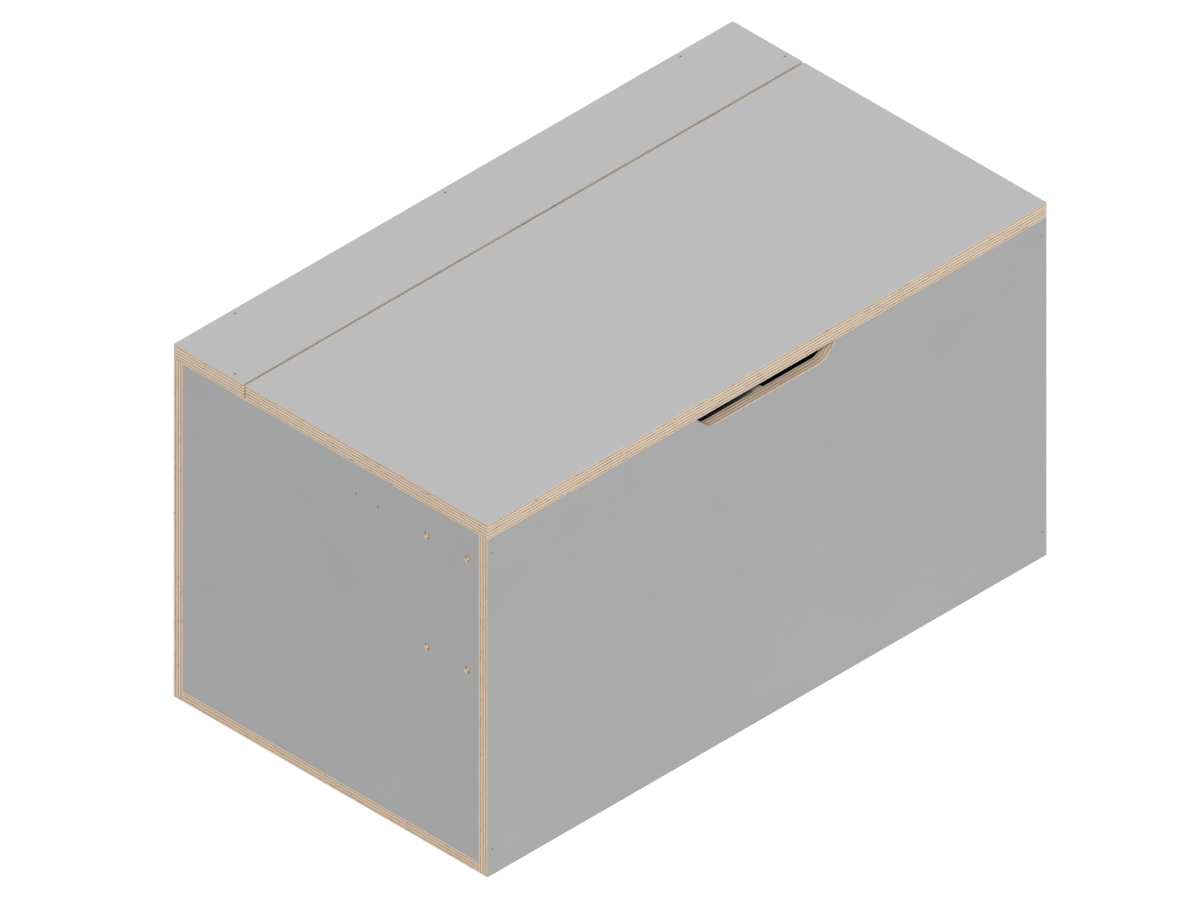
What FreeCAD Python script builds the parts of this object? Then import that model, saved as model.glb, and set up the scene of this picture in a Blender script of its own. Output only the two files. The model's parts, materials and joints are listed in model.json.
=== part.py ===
import FreeCAD, Part
import math
import os

os.makedirs("parts", exist_ok=True)
Vector = FreeCAD.Vector

# Toy box: a plywood carcass with a centre divider, a fixed strip along the back of the top and a lid that
# lifts on three concealed barrel hinges, held by a friction stay at each end.
# Millimetres. +X runs along the box, the front faces -Y, and the origin is the middle of the base.

# Carcass
length = 732.0
depth = 411.0
height = 400.0
wall = 12.0
top_board = 18.0
strip_depth = 91.5
lid_gap = 2.5
board_ease = 0.3
fit = 0.05

# Finger notch in the front panel's top edge; the divider's top is level with its floor
notch_half_width = 92.0
notch_drop = 17.0
notch_corner_radius = 14.0

# Four holes right through each side panel, from the front face and from the base
side_hole_radius = 4.0
side_hole_depths = (27.2, 80.2)
side_hole_heights = (221.5, 347.5)

# Lost-head screws: long ones hold the carcass together, short ones hold the stay plates
screw_head_radius = 1.3
screw_shank_radius = 1.0
screw_head_height = 3.0
screw_tip_height = 4.0
screw_reach = 38.0
screw_recess = 0.35
screw_end_inset = 17.0
strip_screw_inset = 74.4
strip_middle_screw_x = -17.0

# Dowels
dowel_radius = 3.0
dowel_in_face = 8.0
dowel_in_edge = 14.0
dowel_end_play = 0.3
dowel_chamfer = 0.6
bottom_dowel_x = (-300.0, -100.0, 100.0, 300.0)
side_dowel_y = (-120.0, 0.0, 120.0)
divider_dowel_y = (-110.0, 110.0)
divider_dowel_z = (110.0, 290.0)

# Barrel hinges; the lid turns about the top of the gap behind it
lid_opening = 95.0
hinge_x = {"left": -270.0, "middle": 0.0, "right": 270.0}
barrel_radius = 7.0
barrel_reach = 14.0
barrel_chamfer = 0.5
leaf_inner = 7.0
leaf_outer = 12.5
leaf_sweep = 64.0
leaf_thickness = 1.1
leaf_pitch = 1.3
leaf_play = 0.3
leaf_pin_radius = 0.7
leaf_pin_ring = 9.75
leaf_pin_angle = 40.0
slot_end_play = 2.0
slot_overrun = 15.0
clamp_screw_offset = 4.6
clamp_screw_recess = 0.3
clamp_screw_radius = 1.3
clamp_screw_reach = 9.0
clamp_screw_slot = 0.6

# Lid stays: a parallelogram of arm, link, lid and side panel. Points are (y, z).
stay_base = (-47.5, 349.0)
stay_lid_pin = (2.0, 372.0)
stay_screw_spacing = 29.0
sheet = 2.0
base_washer = 0.5
elbow_washer = 1.5
arm_half_width = 7.0
link_half_width = 6.0
plate_radius = 9.0
lug_radius = 2.0
lug_distance = 12.0
lug_land = 3.0
rivet_play = 0.1
rivet_head = 1.0
rivet_head_ease = 0.35
base_rivet_radius = 3.0
base_rivet_head_radius = 5.0
small_rivet_radius = 2.5
small_rivet_head_radius = 4.5
bracket_half_width = 10.0
bracket_foot_half_width = 18.0
bracket_foot_reach = 24.0
bracket_corner_radius = 5.0
bracket_screw_spacing = 22.0
bar_ease = 0.25
rib_height = 0.6
rib_half_width = 2.2
rib_end_gap = 16.0
sleeve_radius = 2.4
sleeve_reach = 6.0
bracket_screw_head_radius = 2.8
bracket_screw_radius = 1.45
bracket_screw_reach = 14.0
bracket_screw_rim = 0.2
bracket_screw_socket = 1.0
bracket_screw_tip = 2.0

# Worked out from the above
half_length = length / 2
half_depth = depth / 2
inner_x = half_length - wall
inner_y = half_depth - wall
side_middles = (wall / 2 - half_length, half_length - wall / 2)
carcass_top = height - top_board
divider_top = carcass_top - notch_drop
strip_front = half_depth - strip_depth
lid_back = strip_front - lid_gap
pivot = (strip_front - lid_gap / 2, height)
hinge_z = height - top_board / 2
stay_elbow = (stay_base[0] + stay_lid_pin[0] - pivot[0], stay_base[1] + stay_lid_pin[1] - pivot[1])
plate_screw_reach = wall + sheet - screw_recess - 0.2

UP = Vector(0, 0, 1)
DOWN = Vector(0, 0, -1)
BACK = Vector(0, 1, 0)
FRONT = Vector(0, -1, 0)
RIGHT = Vector(1, 0, 0)


# ---- Helpers

def block(x_span, y_span, z_span):
    """Box between two values along each axis."""
    corner = Vector(x_span[0], y_span[0], z_span[0])
    return Part.makeBox(x_span[1] - x_span[0], y_span[1] - y_span[0], z_span[1] - z_span[0], corner)


def round_edges(solid):
    return [edge for edge in solid.Edges if edge.Curve.TypeId == "Part::GeomCircle"]


def eased(solid, radius):
    """The solid with every edge rounded."""
    return solid.makeFillet(radius, solid.Edges)


def board(x_span, y_span, z_span):
    """One cut board with its edges taken off."""
    return eased(block(x_span, y_span, z_span), board_ease)


def placed(solid, point, direction):
    """A solid drawn along +Z from the origin, turned to a direction and moved to a point."""
    copy = solid.copy()
    copy.Placement = FreeCAD.Placement(point, FreeCAD.Rotation(UP, direction))
    return copy


def mirrored(solid):
    """The same piece at the other end of the box."""
    return solid.mirror(Vector(0, 0, 0), RIGHT)


def turned(profile):
    """Solid of revolution about Z from (radius, z) points."""
    points = [Vector(radius, 0, z) for radius, z in profile]
    outline = Part.makePolygon(points + points[:1])
    return Part.Face(outline).revolve(Vector(0, 0, 0), UP, 360)


def export(name, solids):
    """Write one node: a single solid, or a group of equal ones."""
    shape = Part.makeCompound(solids) if len(solids) > 1 else solids[0]
    shape.exportStep("parts/" + name + ".step")


# ---- Screws and dowels, each with the bore that takes it

def hex_socket(across, deep):
    """Hexagonal drive socket at the origin, going up Z."""
    turns = [math.radians(60 * step) for step in range(7)]
    corners = [Vector(across / 2 * math.cos(turn), across / 2 * math.sin(turn), 0) for turn in turns]
    return Part.Face(Part.makePolygon(corners)).extrude(Vector(0, 0, deep))


def lost_head_outline(play, mouth):
    """Half outline of a lost-head screw from its head's top at z = 0, or with play, of its bore."""
    head = screw_head_radius + play
    shank = screw_shank_radius + play
    return [(0, mouth), (head, mouth), (head, screw_head_height), (shank, screw_head_height + 1)]


def carcass_screw():
    """Pointed lost-head screw along +Z."""
    tip = [(screw_shank_radius, screw_reach - screw_tip_height), (0, screw_reach)]
    return turned(lost_head_outline(0, 0) + tip).cut(hex_socket(screw_head_radius, screw_head_height / 2))


def carcass_screw_bore():
    tip = [(screw_shank_radius + fit, screw_reach - screw_tip_height + fit), (0, screw_reach + fit)]
    return turned(lost_head_outline(fit, -2 * screw_recess) + tip)


def plate_screw():
    """Short lost-head screw with a flat end, which threads into a stay plate's sleeve."""
    end = [(screw_shank_radius, plate_screw_reach), (0, plate_screw_reach)]
    return turned(lost_head_outline(0, 0) + end).cut(hex_socket(screw_head_radius, screw_head_height / 2))


def plate_screw_bore():
    reach = plate_screw_reach + 1
    return turned(lost_head_outline(fit, -2 * screw_recess) + [(screw_shank_radius + fit, reach), (0, reach)])


def bracket_screw():
    """Countersunk screw along +Z, with its head's flat face at the origin."""
    head = bracket_screw_head_radius
    shank = bracket_screw_radius
    reach = bracket_screw_reach
    cone_end = bracket_screw_rim + head - shank
    head_side = [(0, 0), (head, 0), (head, bracket_screw_rim), (shank, cone_end)]
    body = turned(head_side + [(shank, reach - bracket_screw_tip), (0, reach)])
    return body.cut(hex_socket(head, bracket_screw_socket))


def bracket_screw_bore():
    head = bracket_screw_head_radius + fit
    shank = bracket_screw_radius + fit
    reach = bracket_screw_reach + fit
    cone_end = bracket_screw_rim + head - shank
    head_side = [(0, -1), (head, -1), (head, bracket_screw_rim), (shank, cone_end)]
    return turned(head_side + [(shank, reach), (0, reach)])


def dowel():
    """Dowel along +Z with rounded ends; the face of the board it enters is at the origin."""
    reach = dowel_in_face + dowel_in_edge
    body = Part.makeCylinder(dowel_radius, reach, Vector(0, 0, -dowel_in_face))
    return body.makeChamfer(dowel_chamfer, round_edges(body))


def dowel_bore():
    reach = dowel_in_face + dowel_in_edge + 2 * dowel_end_play
    return Part.makeCylinder(dowel_radius + fit, reach, Vector(0, 0, -dowel_in_face - dowel_end_play))


def at_each(maker, places):
    """One copy of a piece at each (point, direction)."""
    return [placed(maker(), point, direction) for point, direction in places]


def row_of_end_screws(face_y, direction):
    """Screws through the front or back panel into the edges of both side panels."""
    start_y = face_y + direction.y * screw_recess
    heights = (wall + screw_end_inset, carcass_top - screw_end_inset)
    return [(Vector(x, start_y, z), direction) for x in side_middles for z in heights]


front_screws = row_of_end_screws(-half_depth, BACK)
back_screws = row_of_end_screws(half_depth, FRONT)
strip_screw_z = height - screw_recess
back_row_x = (strip_screw_inset - half_length, strip_middle_screw_x, half_length - strip_screw_inset)
strip_screws = [(Vector(x, half_depth - wall / 2, strip_screw_z), DOWN) for x in back_row_x]
strip_screws += [(Vector(x, half_depth - strip_screw_inset, strip_screw_z), DOWN) for x in side_middles]

bottom_dowels = [(Vector(x, -inner_y, wall / 2), BACK) for x in bottom_dowel_x]
bottom_dowels += [(Vector(x, inner_y, wall / 2), FRONT) for x in bottom_dowel_x]
side_dowels = [(Vector(x, y, wall), UP) for x in side_middles for y in side_dowel_y]
divider_dowels = [(Vector(0, y, wall), UP) for y in divider_dowel_y]
divider_dowels += [(Vector(0, -inner_y, z), BACK) for z in divider_dowel_z]
divider_dowels += [(Vector(0, inner_y, z), FRONT) for z in divider_dowel_z]

screw_bores = at_each(carcass_screw_bore, front_screws + back_screws + strip_screws)
dowel_bores = at_each(dowel_bore, bottom_dowels + side_dowels + divider_dowels)
joinery_bores = screw_bores + dowel_bores


def bored(solid, bores):
    """The solid with every bore that reaches it taken out."""
    near = [bore for bore in bores if bore.BoundBox.intersect(solid.BoundBox)]
    return solid.cut(near) if near else solid


# ---- Hinge pieces

def sector(inner, outer, from_deg, to_deg, x_low, x_high):
    """Ring sector round the lid's pivot; angles count from straight down, positive towards the back."""
    def point(radius, deg):
        angle = math.radians(deg)
        return Vector(x_low, pivot[0] + radius * math.sin(angle), pivot[1] - radius * math.cos(angle))
    middle = (from_deg + to_deg) / 2
    edges = [
        Part.Arc(point(outer, from_deg), point(outer, middle), point(outer, to_deg)).toShape(),
        Part.LineSegment(point(outer, to_deg), point(inner, to_deg)).toShape(),
        Part.Arc(point(inner, to_deg), point(inner, middle), point(inner, from_deg)).toShape(),
        Part.LineSegment(point(inner, from_deg), point(outer, from_deg)).toShape(),
    ]
    return Part.Face(Part.Wire(edges)).extrude(Vector(x_high - x_low, 0, 0))


def clamp_screw():
    """Slotted grub screw along +Z."""
    body = Part.makeCylinder(clamp_screw_radius, clamp_screw_reach)
    half = clamp_screw_slot / 2
    slot = block((-half, half), (-clamp_screw_radius, clamp_screw_radius), (0, 1.5 * clamp_screw_slot))
    return body.cut(slot)


def clamp_screw_place(x, face_y, into):
    return (Vector(x + clamp_screw_offset, face_y, hinge_z) + into * clamp_screw_recess, into)


def clamp_screws(face_y, into):
    return at_each(clamp_screw, [clamp_screw_place(x, face_y, into) for x in hinge_x.values()])


def barrel(x, face_y, into):
    """Brass barrel let into a board's edge, slotted for the leaves and bored for its clamp screw."""
    body = Part.makeCylinder(barrel_radius, barrel_reach, Vector(x, face_y, hinge_z), into)
    body = body.makeChamfer(barrel_chamfer, round_edges(body))
    half = leaf_pitch + leaf_thickness / 2 + leaf_play
    ends = sorted((-slot_overrun * into.y, (leaf_sweep + slot_end_play) * into.y))
    slot = sector(leaf_inner - leaf_play, leaf_outer + leaf_play, ends[0], ends[1], x - half, x + half)
    bore = Part.makeCylinder(clamp_screw_radius + fit, clamp_screw_reach + 2 * clamp_screw_recess)
    screw_point, screw_direction = clamp_screw_place(x, face_y, into)
    return body.cut([slot, placed(bore, screw_point - into * clamp_screw_recess, screw_direction)])


def barrel_bores(face_y, into):
    return [Part.makeCylinder(barrel_radius + fit, barrel_reach + fit, Vector(x, face_y, hinge_z), into)
            for x in hinge_x.values()]


def leaf_pins(x):
    """Two pins that hold one hinge's leaves together."""
    half = leaf_pitch + leaf_thickness / 2
    across = leaf_pin_ring * math.sin(math.radians(leaf_pin_angle))
    pin_z = pivot[1] - leaf_pin_ring * math.cos(math.radians(leaf_pin_angle))
    return [Part.makeCylinder(leaf_pin_radius, 2 * half, Vector(x - half, pivot[0] + offset, pin_z), RIGHT)
            for offset in (-across, across)]


def leaves(x):
    """The stack of three curved leaves of one hinge."""
    stack = []
    for step in (-1, 0, 1):
        low_x = x + step * leaf_pitch - leaf_thickness / 2
        leaf = sector(leaf_inner, leaf_outer, -leaf_sweep, leaf_sweep, low_x, low_x + leaf_thickness)
        stack.append(leaf.cut(leaf_pins(x)))
    return stack


# ---- Lid stay at the left end; the right one is its mirror image

def from_wall(inward):
    """X at a distance inward from the left side panel's inner face."""
    return inward - inner_x


plate_layer = (0.0, sheet)
arm_layer = (sheet + base_washer, 2 * sheet + base_washer)
link_layer = (arm_layer[1] + elbow_washer, arm_layer[1] + elbow_washer + sheet)
bracket_layer = (link_layer[1] + base_washer, link_layer[1] + base_washer + sheet)


def strip_bar(start, end, half_width, layer):
    """Flat bar with round ends between two (y, z) points."""
    along = Vector(0, end[0] - start[0], end[1] - start[1]).normalize()
    side = RIGHT.cross(along) * half_width
    nose = along * half_width
    first = Vector(from_wall(layer[0]), start[0], start[1])
    last = Vector(from_wall(layer[0]), end[0], end[1])
    edges = [
        Part.LineSegment(first + side, last + side).toShape(),
        Part.Arc(last + side, last + nose, last - side).toShape(),
        Part.LineSegment(last - side, first - side).toShape(),
        Part.Arc(first - side, first - nose, first + side).toShape(),
    ]
    return Part.Face(Part.Wire(edges)).extrude(Vector(layer[1] - layer[0], 0, 0))


def disc(centre, radius, layer):
    """Round piece square to the side panel at a (y, z) point."""
    base = Vector(from_wall(layer[0]), centre[0], centre[1])
    return Part.makeCylinder(radius, layer[1] - layer[0], base, RIGHT)


def pierced(solid, centre, radius):
    """The solid with a hole right through it along X."""
    return solid.cut(disc(centre, radius, (-1.0, bracket_layer[1] + 1.0)))


def washer(centre, radius, bore, layer):
    return pierced(disc(centre, radius, layer), centre, bore + fit)


plate_screw_points = [(stay_base[0] + side * stay_screw_spacing / 2, stay_base[1]) for side in (-1, 1)]
plate_screws = [(Vector(screw_recess - half_length, y, z), RIGHT) for y, z in plate_screw_points]
bracket_screw_x = from_wall(bracket_layer[1] + bracket_foot_reach / 2)
bracket_screw_y = [stay_lid_pin[0] + side * bracket_screw_spacing / 2 for side in (-1, 1)]
bracket_screws = [(Vector(bracket_screw_x, y, carcass_top - sheet), UP) for y in bracket_screw_y]
plate_screw_bores = at_each(plate_screw_bore, plate_screws)
sleeve_bores = [disc(point, sleeve_radius + fit, (-sleeve_reach - fit, 1.0)) for point in plate_screw_points]
bracket_screw_bores = at_each(bracket_screw_bore, bracket_screws)


def stop_lug_centre():
    """Where the lug stands so that the raised arm leans on it."""
    rest = math.atan2(stay_elbow[1] - stay_base[1], stay_elbow[0] - stay_base[0])
    raised = rest - math.radians(lid_opening)
    away = arm_half_width + lug_radius + rivet_play
    y = stay_base[0] + lug_distance * math.cos(raised) - away * math.sin(raised + math.pi)
    z = stay_base[1] + lug_distance * math.sin(raised) + away * math.cos(raised + math.pi)
    return (y, z)


def stay_plate():
    """Plate on the side panel, with the arm's stop lug and two threaded sleeves let into the panel."""
    lug = stop_lug_centre()
    plate = strip_bar(plate_screw_points[0], plate_screw_points[1], plate_radius, plate_layer)
    tab = strip_bar(stay_base, lug, lug_radius + lug_land, plate_layer)
    plate = plate.fuse(tab).removeSplitter()
    sleeves = [disc(point, sleeve_radius, (-sleeve_reach, sheet)) for point in plate_screw_points]
    plate = plate.fuse([disc(lug, lug_radius, (sheet, arm_layer[1]))] + sleeves)
    plate = pierced(plate, stay_base, base_rivet_radius)
    return plate.cut(plate_screw_bores)


def rivet(centre, radius, head_radius, layer, head_inward):
    """Rivet through a layer with its head at one end."""
    shank = disc(centre, radius, layer)
    if head_inward:
        head = disc(centre, head_radius, (layer[1], layer[1] + rivet_head))
    else:
        head = disc(centre, head_radius, (layer[0] - rivet_head, layer[0]))
    return shank.fuse(head.makeFillet(rivet_head_ease, round_edges(head))).removeSplitter()


def ribbed_bar(start, end, half_width, layer):
    """Bar stamped from sheet: soft edges and a raised rib along its middle, on its inward face."""
    reach = math.dist(start, end)
    near = rib_end_gap / reach
    rib_start = (start[0] + (end[0] - start[0]) * near, start[1] + (end[1] - start[1]) * near)
    rib_end = (end[0] + (start[0] - end[0]) * near, end[1] + (start[1] - end[1]) * near)
    rib = strip_bar(rib_start, rib_end, rib_half_width, (layer[0] + sheet / 2, layer[1] + rib_height))
    rim = [edge for edge in rib.Edges if edge.BoundBox.XMin > from_wall(layer[1])]
    bar = eased(strip_bar(start, end, half_width, layer), bar_ease)
    return bar.fuse(rib.makeFillet(rib_height * 0.8, rim))


def stay_arm():
    bar = ribbed_bar(stay_base, stay_elbow, arm_half_width, arm_layer)
    bar = pierced(bar, stay_base, base_rivet_radius + fit)
    return pierced(bar, stay_elbow, small_rivet_radius)


def stay_link():
    bar = ribbed_bar(stay_elbow, stay_lid_pin, link_half_width, link_layer)
    bar = pierced(bar, stay_elbow, small_rivet_radius + 2 * fit)
    return pierced(bar, stay_lid_pin, small_rivet_radius + fit)


def stay_bracket():
    """Angle bracket under the lid that carries the link's upper end."""
    y, z = stay_lid_pin
    ear = strip_bar((y, z), (y, carcass_top), bracket_half_width, bracket_layer)
    ear = ear.common(block((-half_length, 0), (-half_depth, half_depth), (0, carcass_top)))
    foot_x = (from_wall(bracket_layer[0]), from_wall(bracket_layer[1] + bracket_foot_reach))
    foot_y = (y - bracket_foot_half_width, y + bracket_foot_half_width)
    foot = block(foot_x, foot_y, (carcass_top - sheet, carcass_top))
    free_corners = [edge for edge in foot.Edges
                    if edge.BoundBox.ZLength > 1 and edge.BoundBox.XMin > foot_x[1] - 1]
    bracket = ear.fuse(foot.makeFillet(bracket_corner_radius, free_corners)).removeSplitter()
    bracket = pierced(bracket, stay_lid_pin, small_rivet_radius)
    return bracket.cut(bracket_screw_bores)


# ---- Carcass

def front_panel():
    panel = block((-half_length, half_length), (-half_depth, -inner_y), (0, carcass_top))
    floor_half = notch_half_width - notch_drop
    over = 5.0
    corners = [
        Vector(-notch_half_width - over, -half_depth - 1, carcass_top + over),
        Vector(-floor_half, -half_depth - 1, divider_top),
        Vector(floor_half, -half_depth - 1, divider_top),
        Vector(notch_half_width + over, -half_depth - 1, carcass_top + over),
    ]
    notch = Part.Face(Part.makePolygon(corners + corners[:1])).extrude(Vector(0, wall + 2, 0))
    lower = [edge for edge in notch.Edges
             if edge.BoundBox.YLength > wall and edge.BoundBox.ZMax < divider_top + 1]
    notch = notch.makeFillet(notch_corner_radius, lower)
    return bored(eased(panel.cut(notch), board_ease), joinery_bores)


def back_panel():
    panel = board((-half_length, half_length), (inner_y, half_depth), (0, carcass_top))
    return bored(panel, joinery_bores)


def bottom_panel():
    panel = board((-half_length, half_length), (-inner_y, inner_y), (0, wall))
    return bored(panel, joinery_bores)


def left_side_panel():
    panel = board((-half_length, -inner_x), (-inner_y, inner_y), (wall, carcass_top))
    centres = [(y - half_depth, z) for y in side_hole_depths for z in side_hole_heights]
    through = [disc(centre, side_hole_radius, (-wall - 1, 1)) for centre in centres]
    return bored(panel.cut(through), joinery_bores + plate_screw_bores + sleeve_bores)


def centre_divider():
    panel = board((-wall / 2, wall / 2), (-inner_y, inner_y), (wall, divider_top))
    return bored(panel, joinery_bores)


def rear_top_strip():
    strip = board((-half_length, half_length), (strip_front, half_depth), (carcass_top, height))
    return bored(strip, joinery_bores + barrel_bores(strip_front, BACK))


def lid():
    panel = board((-half_length, half_length), (-half_depth, lid_back), (carcass_top, height))
    right_bores = [mirrored(bore) for bore in bracket_screw_bores]
    return bored(panel, barrel_bores(lid_back, FRONT) + bracket_screw_bores + right_bores)


# ---- Every node

left_panel = left_side_panel()
export("front_panel", [front_panel()])
export("back_panel", [back_panel()])
export("bottom_panel", [bottom_panel()])
export("left_side_panel", [left_panel])
export("right_side_panel", [mirrored(left_panel)])
export("centre_divider", [centre_divider()])
export("rear_top_strip", [rear_top_strip()])
export("lid", [lid()])

export("front_panel_screws", at_each(carcass_screw, front_screws))
export("back_panel_screws", at_each(carcass_screw, back_screws))
export("rear_strip_screws", at_each(carcass_screw, strip_screws))
export("bottom_panel_dowels", at_each(dowel, bottom_dowels))
export("side_panel_dowels", at_each(dowel, side_dowels))
export("divider_dowels", at_each(dowel, divider_dowels))

for place, x in hinge_x.items():
    export("strip_barrel_" + place, [barrel(x, strip_front, BACK)])
    export("lid_barrel_" + place, [barrel(x, lid_back, FRONT)])
    export("hinge_leaves_" + place, leaves(x))
export("strip_barrel_screws", clamp_screws(strip_front, BACK))
export("lid_barrel_screws", clamp_screws(lid_back, FRONT))
export("hinge_leaf_pins", [pin for x in hinge_x.values() for pin in leaf_pins(x)])

base_washer_layer = (sheet, arm_layer[0])
elbow_washer_layer = (arm_layer[1], link_layer[0])
bracket_washer_layer = (link_layer[1], bracket_layer[0])
base_rivet_layer = (0.0, arm_layer[1] + rivet_play)
elbow_rivet_layer = (arm_layer[0], link_layer[1] + rivet_play)
bracket_rivet_layer = (link_layer[0] - rivet_play, bracket_layer[1])
base_rivet = rivet(stay_base, base_rivet_radius, base_rivet_head_radius, base_rivet_layer, True)
elbow_rivet = rivet(stay_elbow, small_rivet_radius, small_rivet_head_radius, elbow_rivet_layer, True)
bracket_rivet = rivet(stay_lid_pin, small_rivet_radius, small_rivet_head_radius, bracket_rivet_layer, False)
stay_pieces = {
    "stay_plate": [stay_plate()],
    "stay_plate_screws": at_each(plate_screw, plate_screws),
    "stay_base_rivet": [base_rivet],
    "stay_base_washer": [washer(stay_base, arm_half_width, base_rivet_radius, base_washer_layer)],
    "stay_arm": [stay_arm()],
    "stay_elbow_rivet": [elbow_rivet],
    "stay_elbow_washer": [washer(stay_elbow, link_half_width, small_rivet_radius, elbow_washer_layer)],
    "stay_link": [stay_link()],
    "stay_bracket": [stay_bracket()],
    "stay_bracket_screws": at_each(bracket_screw, bracket_screws),
    "stay_bracket_rivet": [bracket_rivet],
    "stay_bracket_washer": [washer(stay_lid_pin, link_half_width, small_rivet_radius, bracket_washer_layer)],
}
for name, solids in stay_pieces.items():
    export("left_" + name, solids)
    export("right_" + name, [mirrored(solid) for solid in solids])
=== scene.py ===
import json
import math

import bpy
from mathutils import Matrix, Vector


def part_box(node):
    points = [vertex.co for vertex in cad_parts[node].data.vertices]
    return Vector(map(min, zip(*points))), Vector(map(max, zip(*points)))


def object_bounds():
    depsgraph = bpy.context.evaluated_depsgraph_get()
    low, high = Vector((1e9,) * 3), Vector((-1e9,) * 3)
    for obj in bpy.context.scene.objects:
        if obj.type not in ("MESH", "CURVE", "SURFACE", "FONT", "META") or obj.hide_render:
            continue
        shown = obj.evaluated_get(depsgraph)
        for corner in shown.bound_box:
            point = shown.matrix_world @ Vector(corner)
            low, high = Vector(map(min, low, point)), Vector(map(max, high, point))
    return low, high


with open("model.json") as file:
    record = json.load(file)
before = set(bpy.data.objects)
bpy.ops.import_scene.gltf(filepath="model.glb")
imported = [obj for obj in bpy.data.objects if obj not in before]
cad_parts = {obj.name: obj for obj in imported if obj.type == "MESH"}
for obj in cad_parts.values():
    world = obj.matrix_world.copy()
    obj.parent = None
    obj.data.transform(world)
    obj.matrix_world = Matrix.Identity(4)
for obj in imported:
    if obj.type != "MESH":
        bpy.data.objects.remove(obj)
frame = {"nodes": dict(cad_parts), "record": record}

cad_low, cad_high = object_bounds()
MM = 0.001
WHITE = (1.0, 1.0, 1.0)


# ---- Camera: a parallel view from the front left, equally inclined to all three axes

VIEW_WIDTH = 1.1111            # metres across the frame
BOX_RIGHT_OF_MIDDLE = 9.4 * MM
BOX_ABOVE_MIDDLE = 0.7 * MM
CAMERA_DISTANCE = 6.0          # metres
FAR_CLIP = 100.0               # metres


def add_camera():
    looking = Vector((1, 1, -1)).normalized()
    right = Vector((1, -1, 0)).normalized()
    up = right.cross(looking)
    data = bpy.data.cameras.new("camera")
    data.type = "ORTHO"
    data.ortho_scale = VIEW_WIDTH
    data.clip_end = FAR_CLIP
    camera = bpy.data.objects.new("camera", data)
    centre = (cad_low + cad_high) / 2
    target = centre - right * BOX_RIGHT_OF_MIDDLE - up * BOX_ABOVE_MIDDLE
    camera.location = target - looking * CAMERA_DISTANCE
    camera.rotation_mode = "QUATERNION"
    camera.rotation_quaternion = looking.to_track_quat("-Z", "Y")
    bpy.context.scene.collection.objects.link(camera)
    bpy.context.scene.camera = camera


# ---- Studio: a white floor that glows, dim white surroundings and five soft lamps

SKY_STRENGTH = 0.06
FLOOR_COLOUR = (0.20, 0.20, 0.20)
FLOOR_GLOW = 0.77
FLOOR_ROUGHNESS = 0.9
FLOOR_GLOSS = 0.1
FLOOR_HALF = 40.0              # metres
FLOOR_GAP = 0.02 * MM          # between the floor and the underside of the box
# Name, strength, degrees across and direction it shines from
LAMPS = (
    ("overhead", 2.29, 10.0, (-0.04, -0.04, 1.0)),
    ("front_left", 2.00, 8.0, (-0.54, -0.54, 0.645)),
    ("front", 0.73, 30.0, (0.0, -0.5, 0.87)),
    ("right_fill", 0.85, 6.0, (1.0, 0.05, 0.04)),
    ("back_fill", 0.85, 6.0, (0.05, 1.0, 0.04)),
)


def add_surroundings():
    world = bpy.data.worlds.new("studio")
    world.use_nodes = True
    background = world.node_tree.nodes["Background"]
    background.inputs["Color"].default_value = (*WHITE, 1)
    background.inputs["Strength"].default_value = SKY_STRENGTH
    bpy.context.scene.world = world
    bpy.context.scene.view_settings.view_transform = "Standard"


def add_lamp(name, strength, degrees_across, shines_from):
    data = bpy.data.lights.new(name, "SUN")
    data.energy = strength
    data.angle = math.radians(degrees_across)
    lamp = bpy.data.objects.new(name, data)
    lamp.rotation_mode = "QUATERNION"
    lamp.rotation_quaternion = Vector(shines_from).to_track_quat("Z", "Y")
    bpy.context.scene.collection.objects.link(lamp)


def add_floor():
    mesh = bpy.data.meshes.new("floor")
    corners = [(x * FLOOR_HALF, y * FLOOR_HALF, 0) for x, y in ((-1, -1), (1, -1), (1, 1), (-1, 1))]
    mesh.from_pydata(corners, [], [(0, 1, 2, 3)])
    floor = bpy.data.objects.new("floor", mesh)
    floor.location.z = cad_low.z - FLOOR_GAP
    bpy.context.scene.collection.objects.link(floor)
    material, _, _ = new_material("floor", FLOOR_COLOUR, Roughness=FLOOR_ROUGHNESS,
                                  Specular_IOR_Level=FLOOR_GLOSS,
                                  Emission_Color=(*WHITE, 1), Emission_Strength=FLOOR_GLOW)
    mesh.materials.append(material)


# ---- Shader building

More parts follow.
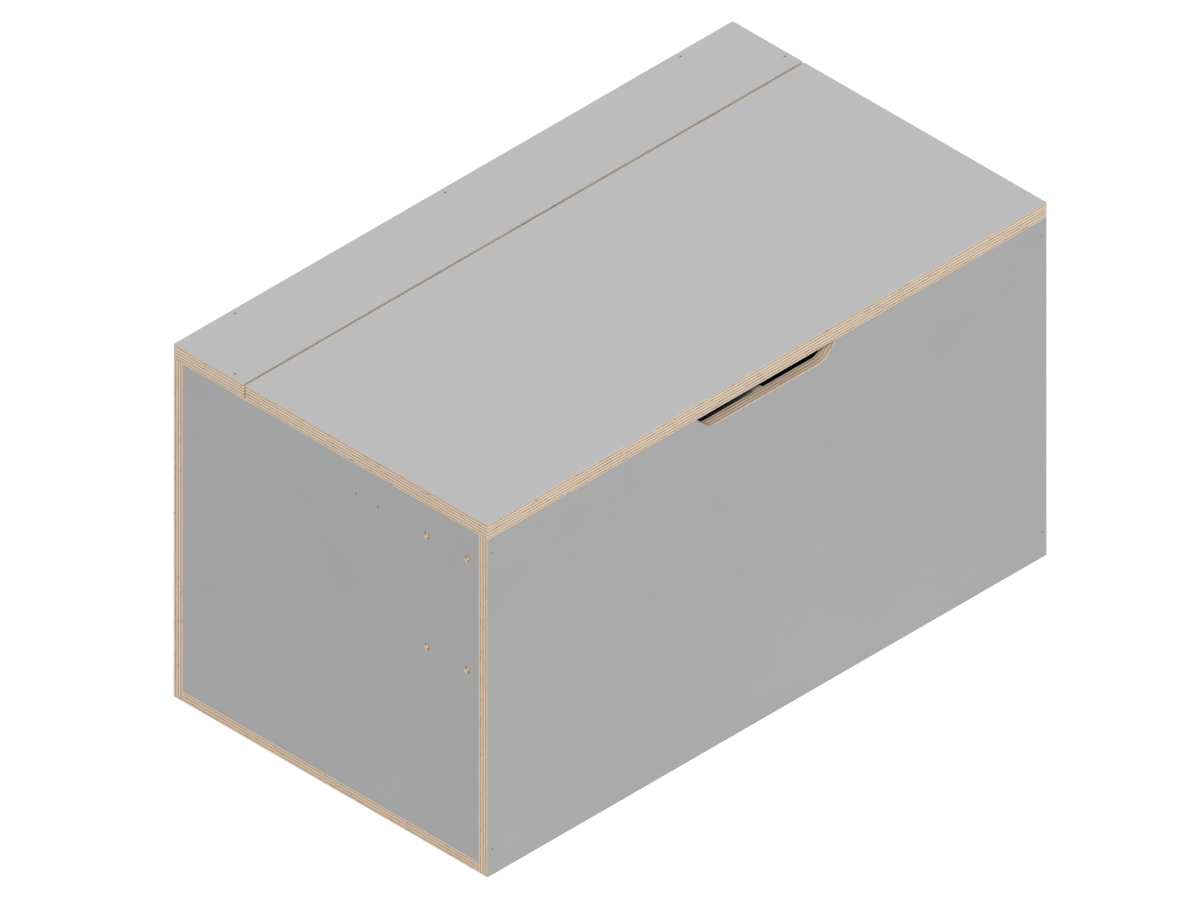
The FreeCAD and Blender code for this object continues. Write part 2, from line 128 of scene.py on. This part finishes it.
class Nodes:
    """Short calls for building one node tree. A value is a number, a tuple or another node's output."""

    def __init__(self, tree):
        self.tree = tree

    def add(self, kind, settings=None, **inputs):
        """A node with its settings and its inputs."""
        node = self.tree.nodes.new(kind)
        for name, value in (settings or {}).items():
            setattr(node, name, value)
        for name, value in inputs.items():
            self.feed(node.inputs[name.replace("_", " ")], value)
        return node

    def feed(self, socket, value):
        if isinstance(value, bpy.types.NodeSocket):
            self.tree.links.new(value, socket)
        else:
            socket.default_value = value

    def math(self, operation, first, second=0.0):
        node = self.add("ShaderNodeMath", {"operation": operation})
        self.feed(node.inputs[0], first)
        self.feed(node.inputs[1], second)
        return node.outputs[0]

    def vector(self, operation, first, second):
        node = self.add("ShaderNodeVectorMath", {"operation": operation})
        self.feed(node.inputs[0], first)
        self.feed(node.inputs[1], second)
        return node.outputs["Value" if operation == "DOT_PRODUCT" else "Vector"]

    def scaled(self, vector, factor):
        """A colour or a place times a number."""
        node = self.add("ShaderNodeVectorMath", {"operation": "SCALE"}, Scale=factor)
        self.feed(node.inputs[0], vector)
        return node.outputs["Vector"]

    def mix(self, factor, first, second):
        """A colour between two others, which are three numbers or another node's output."""
        node = self.add("ShaderNodeMix", {"data_type": "RGBA"}, Factor=factor)
        for name, colour in (("A", first), ("B", second)):
            self.feed(node.inputs[name], (*colour, 1) if isinstance(colour, tuple) else colour)
        return node.outputs["Result"]

    def ramp(self, value, low, high, to_low=0.0, to_high=1.0):
        """Straight change between two limits, held beyond them."""
        limits = {"From_Min": low, "From_Max": high, "To_Min": to_low, "To_Max": to_high}
        return self.add("ShaderNodeMapRange", None, Value=value, **limits).outputs[0]

    def noise(self, place, scale, detail=2.0, roughness=0.5):
        """Smooth noise from 0 to 1, mostly near 0.5."""
        node = self.add("ShaderNodeTexNoise", None,
                        Vector=place, Scale=scale, Detail=detail, Roughness=roughness)
        return node.outputs[0]

    def spread(self, noise, low, high):
        """Noise brought from the range that it mostly fills to the range between two values."""
        return self.ramp(noise, 0.3, 0.7, low, high)

    def random(self, value):
        """One random number from 0 to 1 for each value."""
        return self.add("ShaderNodeTexWhiteNoise", {"noise_dimensions": "1D"}, W=value).outputs["Value"]

    def position_mm(self):
        """Place on the object at rest, in millimetres."""
        return self.scaled(self.add("ShaderNodeTexCoord").outputs["Object"], 1 / MM)


def new_material(name, colour, **sockets):
    """A material whose shader has the given uniform values; returns it with its nodes and shader."""
    material = bpy.data.materials.new(name)
    material.use_nodes = True
    shader = material.node_tree.nodes["Principled BSDF"]
    shader.inputs["Base Color"].default_value = (*colour, 1)
    for key, value in sockets.items():
        shader.inputs[key.replace("_", " ")].default_value = value
    return material, Nodes(material.node_tree), shader


def finish_surface(nodes, shader, colour, roughness, height, bump_mm, bump_strength):
    """Link a surface's colour, roughness and small relief to its shader."""
    bump = nodes.add("ShaderNodeBump", None, Strength=bump_strength, Distance=bump_mm * MM, Height=height)
    nodes.feed(shader.inputs["Base Color"], colour)
    nodes.feed(shader.inputs["Roughness"], roughness)
    nodes.feed(shader.inputs["Normal"], bump.outputs["Normal"])


# ---- Plywood boards: grey laminate on both faces, bare veneers wherever the board is cut

SKIN = 0.50                    # laminate thickness, mm
SKIN_BLEND = 0.03              # the change from laminate to veneer is soft over this much each way, mm
VENEER = 1.66                  # about one veneer, mm
LAMINATE = (0.36, 0.36, 0.36)
LAMINATE_CORE = (0.38, 0.365, 0.345)
LIGHT_VENEER = (0.71, 0.594, 0.477)
DARK_VENEER = (0.45, 0.348, 0.257)
GLUE = (0.27, 0.175, 0.11)
KNOT = (0.16, 0.09, 0.05)
PINK_TINT = (1.035, 0.985, 0.975)
OLIVE_TINT = (0.975, 1.005, 0.965)
PLYWOOD_GLOSS = 0.22
LAMINATE_ROUGHNESS = 0.50
VENEER_ROUGHNESS = 0.74
LAMINATE_RELIEF = 0.35         # height of the laminate's pebbles, against the veneers' relief

# Shares of one veneer
JOINT_WANDER = 0.12            # how far a joint between two veneers wanders each way
JOINT_BLEND = 0.06             # the change from light to dark wood is soft over this much each way
GLUE_REACH = 0.10              # how far a glue line fades out each way
KNOT_HALF_HEIGHT = 0.55

# Levels of noise at which a mark starts and at which it is full
PORE_NOISE = (0.56, 0.68)
STREAK_NOISE = (0.57, 0.68)

# Strengths, from 0 to 1
PORE_STRENGTH = 0.22
GLUE_STRENGTH = 0.35
STREAK_STRENGTH = 0.60
KNOT_STRENGTH = 0.6

KNOT_SPACING = 90.0            # length of the stretches that may hold a knot each, mm
KNOT_HALF_LENGTH = 3.0         # mm
KNOT_CORE = 0.35               # share of a knot that is darkest
KNOT_UNEVEN = 0.25             # how far the wood's fibres push a knot's outline each way, in its own size
KNOT_MARGIN = 0.15             # share of a stretch, at each end, that holds no knot's middle
KNOTLESS_SHARE = 0.88          # of the stretches
EVERY_EDGE = (1.0, 0.83, 0.91)  # distance measured this way grows along every edge of the box

# Offsets that give each veneer, each kind of mark and each board a pattern of its own
VENEER_OFFSET = 7.3
STREAK_OFFSET = 20.0
TINT_OFFSET = 50.0
KNOT_OFFSET = 17.0
KNOT_PLACE_OFFSET = 0.5
KNOT_SLIDE = 7.0               # most that a veneer's stretches are moved along, in stretches
BOARD_OFFSET = 31.0

# Thin boards are warmer than thick ones, with thinner dark veneers and no dark rim beside the face.
# Dark reach is the share of a veneer from the middle of a dark one to its glue line.
THIN_BOARD = 15.0              # boards under this are thin, mm
RIM = 1.0                      # how far in from the face the dark rim ends, mm
THICK_BOARD_LOOK = {"Tint": (1.0, 1.0, 1.0), "Dark Reach": 0.44, "Rim Tone": 0.84}
THIN_BOARD_LOOK = {"Tint": (0.965, 0.93, 0.90), "Dark Reach": 0.40, "Rim Tone": 1.0}
HOLE_WALL_PAINTED_LIGHT = 1.50            # painted light: walls of holes drilled in the side panels, and their other curved surfaces, are painted lighter than cut edges, standing in for light reaching into the holes
SIDEWAYS = 0                   # the axis that the side panels' thickness lies along

PLYWOOD_INPUTS = {"Across": "Vector", "Start": "Float", "Thickness": "Float", "Veneers": "Float",
                  "Dark Reach": "Float", "Tint": "Vector", "Rim Tone": "Float", "Painted Curve Light": "Float",
                  "Seed": "Float"}
PLYWOOD_OUTPUTS = {"Color": "Color", "Roughness": "Float", "Height": "Float"}


class CutEdge:
    """Which veneer each point of a cut edge is on, and marks that follow the veneers."""

    def __init__(self, nodes, place, depth, given):
        self.nodes = nodes
        self.place = place
        self.depth = depth
        self.across = given["Across"]
        self.seed = given["Seed"]
        through = nodes.scaled(self.across, nodes.vector("DOT_PRODUCT", place, self.across))
        self.flat = nodes.vector("SUBTRACT", place, through)

        # The count runs from one face, and stops half a veneer short of both
        wander = nodes.ramp(self.marks(along=0.02, through=0.0, detail=1.0), 0.0, 1.0,
                            -JOINT_WANDER, JOINT_WANDER)
        count = nodes.math("MULTIPLY", nodes.math("DIVIDE", depth, given["Thickness"]), given["Veneers"])
        count = nodes.math("MAXIMUM", nodes.math("ADD", count, wander), 0.5)
        self.count = nodes.math("MINIMUM", count, nodes.math("SUBTRACT", given["Veneers"], 0.5))
        self.index = nodes.math("FLOOR", self.count)
        self.own = nodes.random(nodes.math("ADD", self.index, self.seed))
        self.pattern = nodes.math("ADD", nodes.math("MULTIPLY", self.index, VENEER_OFFSET), self.seed)

        # In each pair of veneers the second lies crosswise and shows the darker ends of its fibres:
        # the nearest dark middle is 1.5 into this pair, or 0.5 before it
        in_pair = nodes.math("MODULO", self.count, 2.0)
        from_dark = nodes.math("MINIMUM", nodes.math("ABSOLUTE", nodes.math("SUBTRACT", in_pair, 1.5)),
                               nodes.math("ADD", in_pair, 0.5))
        self.past_glue = nodes.math("SUBTRACT", from_dark, given["Dark Reach"])
        self.is_dark = nodes.ramp(self.past_glue, -JOINT_BLEND, JOINT_BLEND, 1.0, 0.0)

    def drawn_out(self, along, through, detail, roughness=0.5):
        """Noise stretched along the board's plane, at one place through the board."""
        place = self.nodes.vector("ADD", self.nodes.scaled(self.flat, along),
                                  self.nodes.scaled(self.across, through))
        return self.nodes.noise(place, 1.0, detail, roughness)

    def marks(self, along, through, detail, roughness=0.5):
        """Marks with the given number of waves per millimetre along the board and through it."""
        return self.drawn_out(along, self.nodes.math("MULTIPLY", self.depth, through), detail, roughness)

    def own_marks(self, along, offset, detail):
        """Marks that run the whole way through a veneer and are different in each one."""
        return self.drawn_out(along, self.nodes.math("ADD", self.pattern, offset), detail)


def knot_shade(nodes, edge, fibres):
    """Where the small knots are: one at most in each stretch of each veneer."""
    along = nodes.math("DIVIDE", nodes.vector("DOT_PRODUCT", edge.place, EVERY_EDGE), KNOT_SPACING)
    along = nodes.math("ADD", along, nodes.math("MULTIPLY", edge.own, KNOT_SLIDE))
    stretch = nodes.math("ADD", nodes.math("FLOOR", along), nodes.math("MULTIPLY", edge.index, KNOT_OFFSET))
    draw = nodes.random(nodes.math("ADD", stretch, edge.seed))
    has_knot = nodes.math("GREATER_THAN", draw, KNOTLESS_SHARE)
    place_draw = nodes.random(nodes.math("ADD", stretch, KNOT_PLACE_OFFSET))
    middle = nodes.ramp(place_draw, 0.0, 1.0, KNOT_MARGIN, 1.0 - KNOT_MARGIN)

    # How far out from the knot's middle a point is, where 1 is the end of the knot
    sideways = nodes.math("MULTIPLY", nodes.math("SUBTRACT", nodes.math("FRACT", along), middle),
                          KNOT_SPACING / KNOT_HALF_LENGTH)
    upwards = nodes.math("DIVIDE", nodes.math("SUBTRACT", nodes.math("FRACT", edge.count), 0.5),
                         KNOT_HALF_HEIGHT)
    out = nodes.math("SQRT", nodes.math("ADD", nodes.math("MULTIPLY", sideways, sideways),
                                        nodes.math("MULTIPLY", upwards, upwards)))
    out = nodes.math("ADD", out, nodes.ramp(fibres, 0.2, 0.8, -KNOT_UNEVEN, KNOT_UNEVEN))
    return nodes.math("MULTIPLY", nodes.ramp(out, KNOT_CORE, 1.0, 1.0, 0.0), has_knot)


def veneer_look(nodes, place, depth, given):
    """Colour and relief of the cut veneers."""
    edge = CutEdge(nodes, place, depth, given)
    fibres = edge.marks(along=0.05, through=2.2, detail=4.0, roughness=0.6)
    fibre_ends = edge.marks(along=0.8, through=1.6, detail=3.0, roughness=0.65)
    pores = nodes.ramp(edge.marks(along=0.45, through=3.5, detail=2.0), *PORE_NOISE)
    light = nodes.scaled(LIGHT_VENEER, nodes.ramp(fibres, 0.25, 0.75, 0.90, 1.08))
    light = nodes.mix(nodes.math("MULTIPLY", pores, PORE_STRENGTH), light, DARK_VENEER)
    dark = nodes.scaled(DARK_VENEER, nodes.ramp(fibre_ends, 0.25, 0.75, 0.80, 1.18))
    colour = nodes.mix(edge.is_dark, light, dark)
    colour = nodes.scaled(colour, nodes.ramp(edge.own, 0.0, 1.0, 0.97, 1.03))

    # Each veneer's tone and tint drift along the board
    drift = edge.own_marks(along=0.022, offset=0.0, detail=2.0)
    colour = nodes.scaled(colour, nodes.spread(drift, 0.95, 1.05))
    olive_share = nodes.ramp(edge.own_marks(along=0.045, offset=TINT_OFFSET, detail=2.0), 0.35, 0.65)
    colour = nodes.vector("MULTIPLY", colour, nodes.mix(olive_share, PINK_TINT, OLIVE_TINT))

    # Thin glue lines, short dark stretches of crosswise veneer, and a knot here and there
    glue_line = nodes.ramp(nodes.math("ABSOLUTE", edge.past_glue), 0.0, GLUE_REACH, GLUE_STRENGTH, 0.0)
    colour = nodes.mix(glue_line, colour, GLUE)
    streaks = edge.own_marks(along=0.12, offset=STREAK_OFFSET, detail=1.0)
    streak = nodes.math("MULTIPLY", nodes.ramp(streaks, *STREAK_NOISE, 0.0, STREAK_STRENGTH), edge.is_dark)
    colour = nodes.mix(streak, colour, GLUE)
    knot = knot_shade(nodes, edge, fibres)
    colour = nodes.mix(nodes.math("MULTIPLY", knot, KNOT_STRENGTH), colour, KNOT)
    height = nodes.math("SUBTRACT", nodes.math("ADD", fibre_ends, fibres),
                        nodes.math("ADD", knot, glue_line))
    return colour, height


def laminate_look(nodes, place):
    """Colour and relief of the matt grey laminate, which has a fine pebbled skin."""
    pebble = nodes.noise(place, 1.6, roughness=0.55)
    cloud = nodes.noise(place, 0.012)
    speck = nodes.noise(place, 0.45, detail=3.0, roughness=0.6)
    tone = nodes.math("ADD", nodes.spread(pebble, -0.012, 0.012), nodes.spread(cloud, 0.99, 1.01))
    tone = nodes.math("ADD", tone, nodes.spread(speck, -0.010, 0.010))
    return nodes.scaled(LAMINATE, tone), pebble


def plywood_group():
    """Node group shared by all the boards, which differ in direction, place and thickness."""
    tree = bpy.data.node_groups.new("plywood", "ShaderNodeTree")
    for in_out, sockets in (("INPUT", PLYWOOD_INPUTS), ("OUTPUT", PLYWOOD_OUTPUTS)):
        for name, kind in sockets.items():
            tree.interface.new_socket(name, in_out=in_out, socket_type="NodeSocket" + kind)
    nodes = Nodes(tree)
    given = nodes.add("NodeGroupInput").outputs
    result = nodes.add("NodeGroupOutput").inputs
    place = nodes.position_mm()
    depth = nodes.math("SUBTRACT", nodes.vector("DOT_PRODUCT", place, given["Across"]), given["Start"])
    from_face = nodes.math("MINIMUM", depth, nodes.math("SUBTRACT", given["Thickness"], depth))
    is_veneer = nodes.ramp(from_face, SKIN - SKIN_BLEND, SKIN + SKIN_BLEND)
    normal = nodes.add("ShaderNodeTexCoord").outputs["Normal"]

    wood, wood_relief = veneer_look(nodes, place, depth, given)
    wood = nodes.scaled(wood, nodes.ramp(from_face, SKIN, RIM, given["Rim Tone"], 1.0))
    wood = nodes.vector("MULTIPLY", wood, given["Tint"])
    # Straightness is 1 where the surface is square to an axis, and a half midway between two axes
    squares = nodes.vector("MULTIPLY", normal, normal)
    straightness = nodes.vector("DOT_PRODUCT", squares, squares)
    # Painted light: curved surfaces are made lighter by the board's own factor, which is above 1 only on
    # the side panels, standing in for light reaching into drilled holes
    wood = nodes.scaled(wood, nodes.ramp(straightness, 0.55, 0.97, given["Painted Curve Light"], 1.0))

    # The laminate's own cut edge shows its core
    skin, skin_relief = laminate_look(nodes, place)
    facing = nodes.math("ABSOLUTE", nodes.vector("DOT_PRODUCT", normal, given["Across"]))
    skin = nodes.mix(nodes.ramp(facing, 0.35, 0.85, 1.0, 0.0), skin, LAMINATE_CORE)

    roughness = nodes.ramp(is_veneer, 0.0, 1.0, LAMINATE_ROUGHNESS, VENEER_ROUGHNESS)
    roughness = nodes.math("ADD", roughness, nodes.spread(skin_relief, -0.04, 0.04))
    skin_relief = nodes.math("MULTIPLY", nodes.math("MULTIPLY", skin_relief, LAMINATE_RELIEF),
                             nodes.math("SUBTRACT", 1.0, is_veneer))
    relief = nodes.math("ADD", nodes.math("MULTIPLY", wood_relief, is_veneer), skin_relief)
    nodes.feed(result["Color"], nodes.mix(is_veneer, skin, wood))
    nodes.feed(result["Roughness"], roughness)
    nodes.feed(result["Height"], relief)
    return tree


def board_material(node_name, group, seed):
    """Plywood laid through the board's thinnest direction, with an odd number of veneers."""
    low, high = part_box(node_name)
    size = high - low
    axis = min(range(3), key=lambda i: size[i])
    thickness = size[axis] / MM
    material, nodes, shader = new_material(node_name + "_plywood", LAMINATE,
                                           Specular_IOR_Level=PLYWOOD_GLOSS)
    plywood = nodes.add("ShaderNodeGroup", {"node_tree": group})
    values = {
        "Across": [float(i == axis) for i in range(3)],
        "Start": low[axis] / MM,
        "Thickness": thickness,
        "Veneers": 2 * round((thickness / VENEER - 1) / 2) + 1,
        # The side panels' curved walls are painted lighter, standing in for light reaching into their holes
        "Painted Curve Light": HOLE_WALL_PAINTED_LIGHT if axis == SIDEWAYS else 1.0,
        "Seed": seed,
        **(THIN_BOARD_LOOK if thickness < THIN_BOARD else THICK_BOARD_LOOK),
    }
    for name, value in values.items():
        plywood.inputs[name].default_value = value
    look = plywood.outputs
    finish_surface(nodes, shader, look["Color"], look["Roughness"], look["Height"],
                   bump_mm=0.05, bump_strength=0.6)
    return material


# ---- Hardware

METAL_MARK = 0.08              # how much a metal's fine marks change its colour
# Material slot: name, colour, roughness, share of metal, and marks per millimetre along each axis
METALS = {
    "zinc_screws": ("dull_zinc_plate", (0.35, 0.35, 0.36), 0.38, 0.57, (1.5, 1.5, 1.5)),
    "hinge_brass": ("turned_brass", (0.74, 0.53, 0.22), 0.30, 1.0, (0.2, 9.0, 0.2)),
    "hinge_steel": ("stamped_steel", (0.62, 0.62, 0.63), 0.44, 1.0, (3.0, 0.6, 0.6)),
    "stay_steel": ("nickel_plate", (0.72, 0.71, 0.69), 0.44, 1.0, (0.6, 0.5, 4.0)),
}
NYLON = (0.74, 0.72, 0.64)
BEECH = (0.66, 0.44, 0.26)
BEECH_FLECK = (0.36, 0.2, 0.1)
FLECK_NOISE = (0.58, 0.68)
FLECK_STRENGTH = 0.5


def metal_material(name, colour, roughness, metal_share, marks_per_mm):
    """Bare or plated metal with fine marks and faint stains."""
    material, nodes, shader = new_material(name, colour, Metallic=metal_share)
    place = nodes.position_mm()
    marks = nodes.noise(nodes.vector("MULTIPLY", place, marks_per_mm), 1.0, detail=4.0, roughness=0.65)
    stain = nodes.noise(place, 0.12, detail=3.0)
    tone = nodes.math("ADD", nodes.spread(marks, -METAL_MARK, METAL_MARK), nodes.spread(stain, 0.93, 1.05))
    dullness = nodes.math("ADD", nodes.spread(marks, roughness - 0.07, roughness + 0.09),
                          nodes.spread(stain, -0.03, 0.05))
    finish_surface(nodes, shader, nodes.scaled(colour, tone), dullness, marks,
                   bump_mm=0.01, bump_strength=0.5)
    return material


def nylon_material():
    """Moulded natural nylon with faint flow marks."""
    material, nodes, shader = new_material("natural_nylon", NYLON, Specular_IOR_Level=0.45)
    flow = nodes.noise(nodes.position_mm(), 0.9, detail=3.0)
    colour = nodes.scaled(NYLON, nodes.spread(flow, 0.95, 1.04))
    finish_surface(nodes, shader, colour, nodes.spread(flow, 0.38, 0.50), flow,
                   bump_mm=0.01, bump_strength=0.5)
    return material


def beech_material():
    """Planed beech with its small dark flecks."""
    material, nodes, shader = new_material("beech", BEECH, Specular_IOR_Level=0.3)
    place = nodes.position_mm()
    fibres = nodes.noise(place, 1.4, detail=4.0, roughness=0.6)
    flecks = nodes.ramp(nodes.noise(place, 2.6), *FLECK_NOISE)
    plain = nodes.scaled(BEECH, nodes.spread(fibres, 0.88, 1.1))
    colour = nodes.mix(nodes.math("MULTIPLY", flecks, FLECK_STRENGTH), plain, BEECH_FLECK)
    finish_surface(nodes, shader, colour, nodes.spread(fibres, 0.6, 0.75), fibres,
                   bump_mm=0.03, bump_strength=0.5)
    return material


def add_materials():
    """Give every node the material of its slot in the record, or else plywood of its own."""
    hardware = {slot: metal_material(*look) for slot, look in METALS.items()}
    hardware["beech_dowel"] = beech_material()
    hardware["nylon_washer"] = nylon_material()
    slots = {part["node"]: part["material_slot"] for part in frame["record"]["subparts"]}
    group = plywood_group()
    for number, (name, node) in enumerate(sorted(frame["nodes"].items())):
        if slots[name] in hardware:
            material = hardware[slots[name]]
        else:
            material = board_material(name, group, number * BOARD_OFFSET)
        node.data.materials.clear()
        node.data.materials.append(material)


add_camera()
add_surroundings()
for lamp in LAMPS:
    add_lamp(*lamp)
add_floor()
add_materials()
